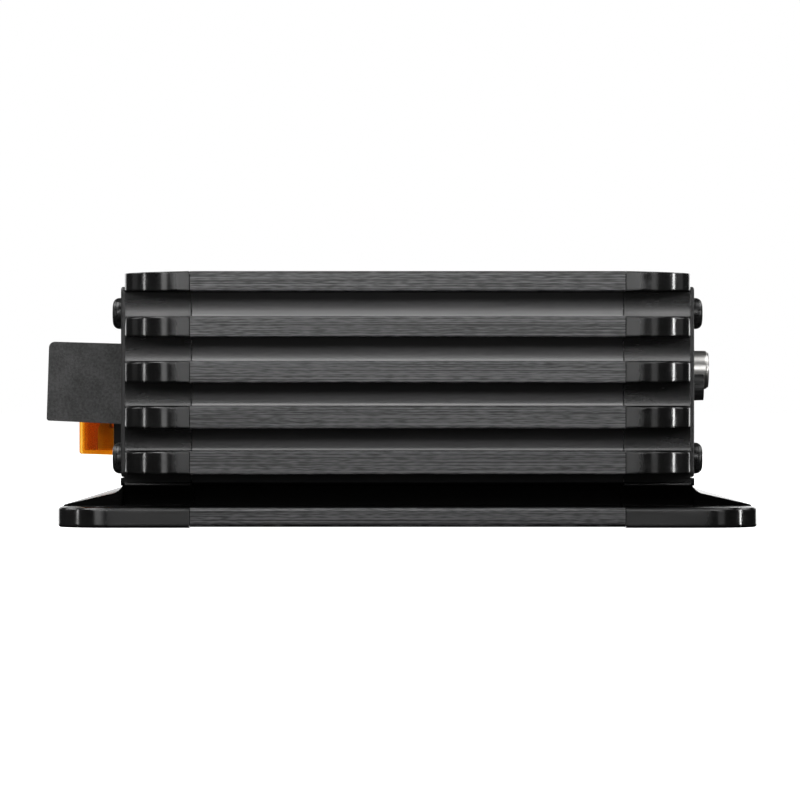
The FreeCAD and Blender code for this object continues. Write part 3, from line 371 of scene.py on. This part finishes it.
def zinc_plated_steel(paint):
    """Dull silver zinc with a faint cloudy spangle."""
    cloud = paint.noise(paint.place, 240, 4.0)
    spangle = paint.cells(paint.place, 700)
    paint.set(Base_Color=paint.ramp(cloud, (0.3, (0.46, 0.46, 0.45, 1)), (0.75, (0.66, 0.66, 0.63, 1))))
    paint.set(Metallic=1.0, Roughness=paint.span(spangle, 0.1, 0.7, 0.3, 0.42))
    paint.set(Normal=paint.bump(cloud, 0.1, 0.0001))


def circuit_board(paint):
    """Green solder mask over copper tracks that run along X and Y."""
    bricks = {"Vector": paint.stretched(1, 1, 0), "Scale": 160.0, "Mortar Size": 0.016}
    tracks = paint.add("TexBrick", bricks).outputs["Fac"]
    mask = paint.noise(paint.place, 90, 3.0)
    both = paint.total(tracks, paint.product(mask, 0.3))
    color = paint.ramp(both, (0.1, (0.006, 0.06, 0.022, 1)), (1.0, (0.02, 0.16, 0.05, 1)))
    paint.set(Base_Color=color, Roughness=paint.vary(mask, 0.22, 0.36))
    paint.set(Normal=paint.bump(tracks, 0.3, 0.00004))


def ferrite(paint):
    """Pressed and fired ferrite: dark grey, dry, with fine pits."""
    pits = paint.cells(paint.place, 1500)
    cloud = paint.noise(paint.place, 120, 4.0)
    paint.set(Base_Color=paint.ramp(cloud, (0.3, (0.035, 0.036, 0.04, 1)), (0.75, (0.075, 0.077, 0.08, 1))))
    paint.set(Roughness=paint.span(pits, 0.0, 0.6, 0.75, 0.55), Normal=paint.bump(pits, 0.3, 0.0001))


def enamelled_copper(paint):
    """Close turns of varnished wire, coloured darker in the creases between turns as painted shade."""
    turns = paint.add("TexWave", {"Vector": paint.place, "Scale": 260.0, "Distortion": 0.6, "Detail": 1.0})
    turn_ridge_and_crease_shade = turns.outputs["Fac"]
    # painted shade: the colour darkens into the creases between turns and stays copper on their crests
    color = paint.ramp(turn_ridge_and_crease_shade, (0.1, (0.20, 0.045, 0.012, 1)), (0.9, (0.72, 0.26, 0.075, 1)))
    paint.set(Base_Color=color, Metallic=0.75, Roughness=paint.span(turn_ridge_and_crease_shade, 0.0, 1.0, 0.45, 0.24))
    paint.set(Normal=paint.bump(turn_ridge_and_crease_shade, 0.5, 0.0003))


def capacitor_sleeve(paint):
    """Shrunk plastic sleeve, dark blue with slight ripples."""
    ripple = paint.noise(paint.stretched(150, 150, 400), detail=2.0)
    paint.set(Base_Color=paint.ramp(ripple, (0.3, (0.008, 0.012, 0.035, 1)), (0.8, (0.018, 0.025, 0.07, 1))))
    paint.set(Roughness=paint.vary(ripple, 0.2, 0.34), Normal=paint.bump(ripple, 0.15, 0.0001))


def black_epoxy(paint):
    """Moulded transistor bodies: dull black with a sandy skin."""
    sand = paint.noise(paint.place, 3000, 2.0)
    paint.set(Base_Color=paint.ramp(sand, (0.3, grey(0.013)), (0.7, grey(0.028))))
    paint.set(Roughness=paint.vary(sand, 0.5, 0.65), Normal=paint.bump(sand, 0.2, 0.00005))


def grey_silicone(paint):
    """Woven glass pad filled with silicone."""
    weave = paint.add("TexChecker", {"Vector": paint.place, "Scale": 1600.0}).outputs["Fac"]
    cloud = paint.noise(paint.place, 200, 3.0)
    paint.set(Base_Color=paint.ramp(cloud, (0.3, (0.26, 0.28, 0.30, 1)), (0.7, (0.36, 0.38, 0.40, 1))))
    paint.set(Roughness=paint.vary(cloud, 0.7, 0.85), Normal=paint.bump(weave, 0.2, 0.00006))


def grey_terminal_plastic(paint):
    """Glass-filled nylon block: matt, mottled dark grey."""
    mottle = paint.noise(paint.place, 1500, 3.0, 0.7)
    cloud = paint.noise(paint.place, 220, 3.0)
    both = paint.total(mottle, paint.product(cloud, 0.6))
    skin = paint.noise(paint.place, 3400, 2.0)
    paint.set(Base_Color=paint.ramp(both, (0.62, grey(0.030)), (0.98, grey(0.080))))
    paint.set(Roughness=paint.vary(skin, 0.55, 0.7), Normal=paint.bump(skin, 0.3, 0.0001))


def black_knob_plastic(paint):
    """Satin black moulding with a spark-eroded skin."""
    skin = paint.noise(paint.place, 2800, 3.0)
    rub = paint.noise(paint.place, 260, 2.0)
    paint.set(Base_Color=paint.ramp(rub, (0.3, grey(0.010)), (0.75, grey(0.018))))
    paint.set(Roughness=paint.vary(skin, 0.38, 0.52), Normal=paint.bump(skin, 0.2, 0.00006))


def black_plastic(paint):
    """Plain black moulding of sockets and housings."""
    skin = paint.noise(paint.place, 2200, 2.0)
    flow = paint.noise(paint.place, 90, 2.0)
    paint.set(Base_Color=paint.ramp(flow, (0.3, grey(0.013)), (0.75, grey(0.022))))
    paint.set(Roughness=paint.vary(flow, 0.32, 0.44), Normal=paint.bump(skin, 0.15, 0.00006))


def nickel(paint):
    """Satin nickel barrels with faint turning rings."""
    rings = paint.noise(paint.stretched(2600, 0, 0), detail=2.0)
    cloud = paint.noise(paint.place, 300, 2.0)
    paint.set(Base_Color=paint.ramp(cloud, (0.3, (0.60, 0.59, 0.57, 1)), (0.7, (0.70, 0.69, 0.67, 1))))
    paint.set(Metallic=1.0, Roughness=paint.vary(rings, 0.29, 0.35))


def white_insulator(paint):
    """Off-white moulded nylon."""
    cloud = paint.noise(paint.place, 350, 3.0)
    paint.set(Base_Color=paint.ramp(cloud, (0.3, (0.62, 0.60, 0.55, 1)), (0.7, (0.74, 0.72, 0.67, 1))))
    paint.set(Roughness=paint.vary(cloud, 0.4, 0.52), Subsurface_Weight=0.1)
    paint.set(Subsurface_Radius=(0.001, 0.001, 0.001))


def brass_contact(paint):
    """Machined brass, bright but drawn with fine lines."""
    lines = paint.noise(paint.stretched(300, 300, 2600), detail=3.0)
    tarnish = paint.noise(paint.place, 180, 4.0)
    paint.set(Base_Color=paint.ramp(tarnish, (0.3, (0.55, 0.38, 0.14, 1)), (0.7, (0.78, 0.58, 0.27, 1))))
    paint.set(Metallic=1.0, Roughness=paint.vary(lines, 0.2, 0.36))
    paint.set(Normal=paint.bump(lines, 0.15, 0.00005))


def black_oxide_grub(paint):
    """Clamp screws: oxide black with bare steel showing through on the wear."""
    wear = paint.noise(paint.place, 900, 4.0)
    paint.set(Base_Color=paint.ramp(wear, (0.45, grey(0.03)), (0.75, grey(0.22))), Metallic=0.9)
    paint.set(Roughness=paint.vary(wear, 0.42, 0.28), Normal=paint.bump(wear, 0.15, 0.00005))


def amber_plastic(paint):
    """Clear amber fuse body with flow marks from moulding."""
    flow = paint.noise(paint.stretched(260, 260, 90), detail=3.0)
    paint.set(Base_Color=paint.ramp(flow, (0.35, (0.74, 0.33, 0.025, 1)), (0.7, (0.92, 0.56, 0.09, 1))))
    paint.set(Transmission_Weight=0.9, IOR=1.45, Roughness=paint.vary(flow, 0.03, 0.1))
    paint.set(Normal=paint.bump(flow, 0.12, 0.0003))


def fuse_metal(paint):
    """Rolled zinc strip with a golden tone, shaded as if bowed towards one side."""
    rolled = paint.noise(paint.stretched(200, 200, 1400), detail=3.0)
    paint.set(Base_Color=paint.ramp(rolled, (0.3, (0.92, 0.74, 0.36, 1)), (0.7, (1.0, 0.88, 0.52, 1))))
    paint.set(Metallic=1.0, Roughness=paint.vary(rolled, 0.3, 0.45))
    paint.set(Normal=paint.unit(paint.leaned(paint.bump(rolled, 0.3, 0.0001), "X", STRIP_BOW)))


def indicator_lens(paint):
    """Tinted clear lens, unlit."""
    haze = paint.noise(paint.place, 900, 2.0)
    paint.set(Base_Color=paint.ramp(haze, (0.3, (0.16, 0.34, 0.8, 1)), (0.7, (0.3, 0.5, 0.92, 1))))
    paint.set(Transmission_Weight=0.6, Roughness=paint.vary(haze, 0.1, 0.2), IOR=1.5)


RECIPES = [
    brushed_black_aluminium,
    gloss_black_plastic,
    black_painted_steel,
    black_screw_steel,
    zinc_plated_steel,
    circuit_board,
    ferrite,
    enamelled_copper,
    capacitor_sleeve,
    black_epoxy,
    grey_silicone,
    grey_terminal_plastic,
    black_knob_plastic,
    black_plastic,
    nickel,
    white_insulator,
    brass_contact,
    black_oxide_grub,
    amber_plastic,
    fuse_metal,
    indicator_lens,
]


def paint_nodes():
    """Gives every CAD node the material of its slot in the record."""
    made = {}
    for recipe in RECIPES:
        paint = Paint(recipe.__name__)
        recipe(paint)
        made[recipe.__name__] = paint.material
    for part in frame["record"]["subparts"]:
        piece = frame["nodes"][part["node"]]
        for slot in piece.material_slots:
            slot.material = made[part["material_slot"]]


# ---- studio --------------------------------------------------------------------------------------
def around(azimuth, elevation, distance):
    """A spot seen from the aim point; azimuth 0 is on the camera's side and positive to its right."""
    turn = math.radians(azimuth)
    rise = math.radians(elevation)
    level = distance * math.cos(rise)
    return LIGHT_AIM + Vector((level * math.sin(turn), -level * math.cos(turn), distance * math.sin(rise)))


def softbox(name, spot, width, height, watts):
    """A rectangular light that faces the aim point and that the camera doesn't see."""
    light = bpy.data.lights.new(name, "AREA")
    light.shape = "RECTANGLE"
    light.size = width
    light.size_y = height
    light.energy = watts
    holder = bpy.data.objects.new(name, light)
    holder.location = spot
    holder.rotation_euler = (LIGHT_AIM - spot).to_track_quat("-Z", "Y").to_euler()
    holder.visible_camera = False
    bpy.context.scene.collection.objects.link(holder)


def studio_lights():
    for name, azimuth, elevation, distance, width, height, watts in LIGHTS:
        softbox(name, around(azimuth, elevation, distance), width, height, watts)


def studio_world():
    """White to the camera; to everything else a dim room, darker below than above."""
    world = bpy.data.worlds.new("studio")
    world.use_nodes = True
    world.node_tree.nodes.clear()
    nodes = Nodes(world.node_tree)
    direction = nodes.add("TexCoord").outputs["Generated"]
    height = nodes.add("SeparateXYZ", {"Vector": direction}).outputs["Z"]
    strength = nodes.span(height, *ROOM_FADE, ROOM_LOW, ROOM_HIGH)
    room = nodes.add("Background", {"Color": grey(1.0), "Strength": strength}).outputs["Background"]
    white = nodes.add("Background", {"Color": grey(1.0), "Strength": 1.0}).outputs["Background"]
    by_camera = nodes.add("LightPath").outputs["Is Camera Ray"]
    seen = nodes.add("MixShader", {"Fac": by_camera, 1: room, 2: white}).outputs["Shader"]
    nodes.add("OutputWorld", {"Surface": seen})
    bpy.context.scene.world = world


def studio_floor():
    """A pale floor that the camera sees and that throws no light back at the object."""
    mesh = bpy.data.meshes.new("floor")
    corners = [(FLOOR_HALF * x, FLOOR_HALF * y, 0.0) for x, y in ((-1, -1), (1, -1), (1, 1), (-1, 1))]
    mesh.from_pydata(corners, [], [(0, 1, 2, 3)])
    floor = bpy.data.objects.new("floor", mesh)
    bpy.context.scene.collection.objects.link(floor)
    paint = Paint("floor_paint")
    cloud = paint.noise(paint.place, 3.0, 2.0)
    paint.set(Base_Color=paint.ramp(cloud, (0.3, grey(0.78)), (0.7, grey(0.8))), Roughness=0.9)
    paint.set(Specular_IOR_Level=0.0, Emission_Color=grey(1.0), Emission_Strength=FLOOR_GLOW)
    mesh.materials.append(paint.material)
    floor.visible_diffuse = False
    floor.visible_glossy = False
    floor.visible_transmission = False


def studio_camera():
    camera = bpy.data.cameras.new("camera")
    camera.lens = CAMERA_LENS_MM
    camera.sensor_width = SENSOR_MM
    camera.clip_start = CLIP_NEAR
    camera.clip_end = CLIP_FAR
    holder = bpy.data.objects.new("camera", camera)
    holder.location = CAMERA_SPOT
    holder.rotation_euler = (math.radians(90), 0, 0)
    bpy.context.scene.collection.objects.link(holder)
    bpy.context.scene.camera = holder
    bpy.context.scene.view_settings.view_transform = "Standard"


studio_camera()
studio_floor()
studio_lights()
studio_world()
paint_nodes()
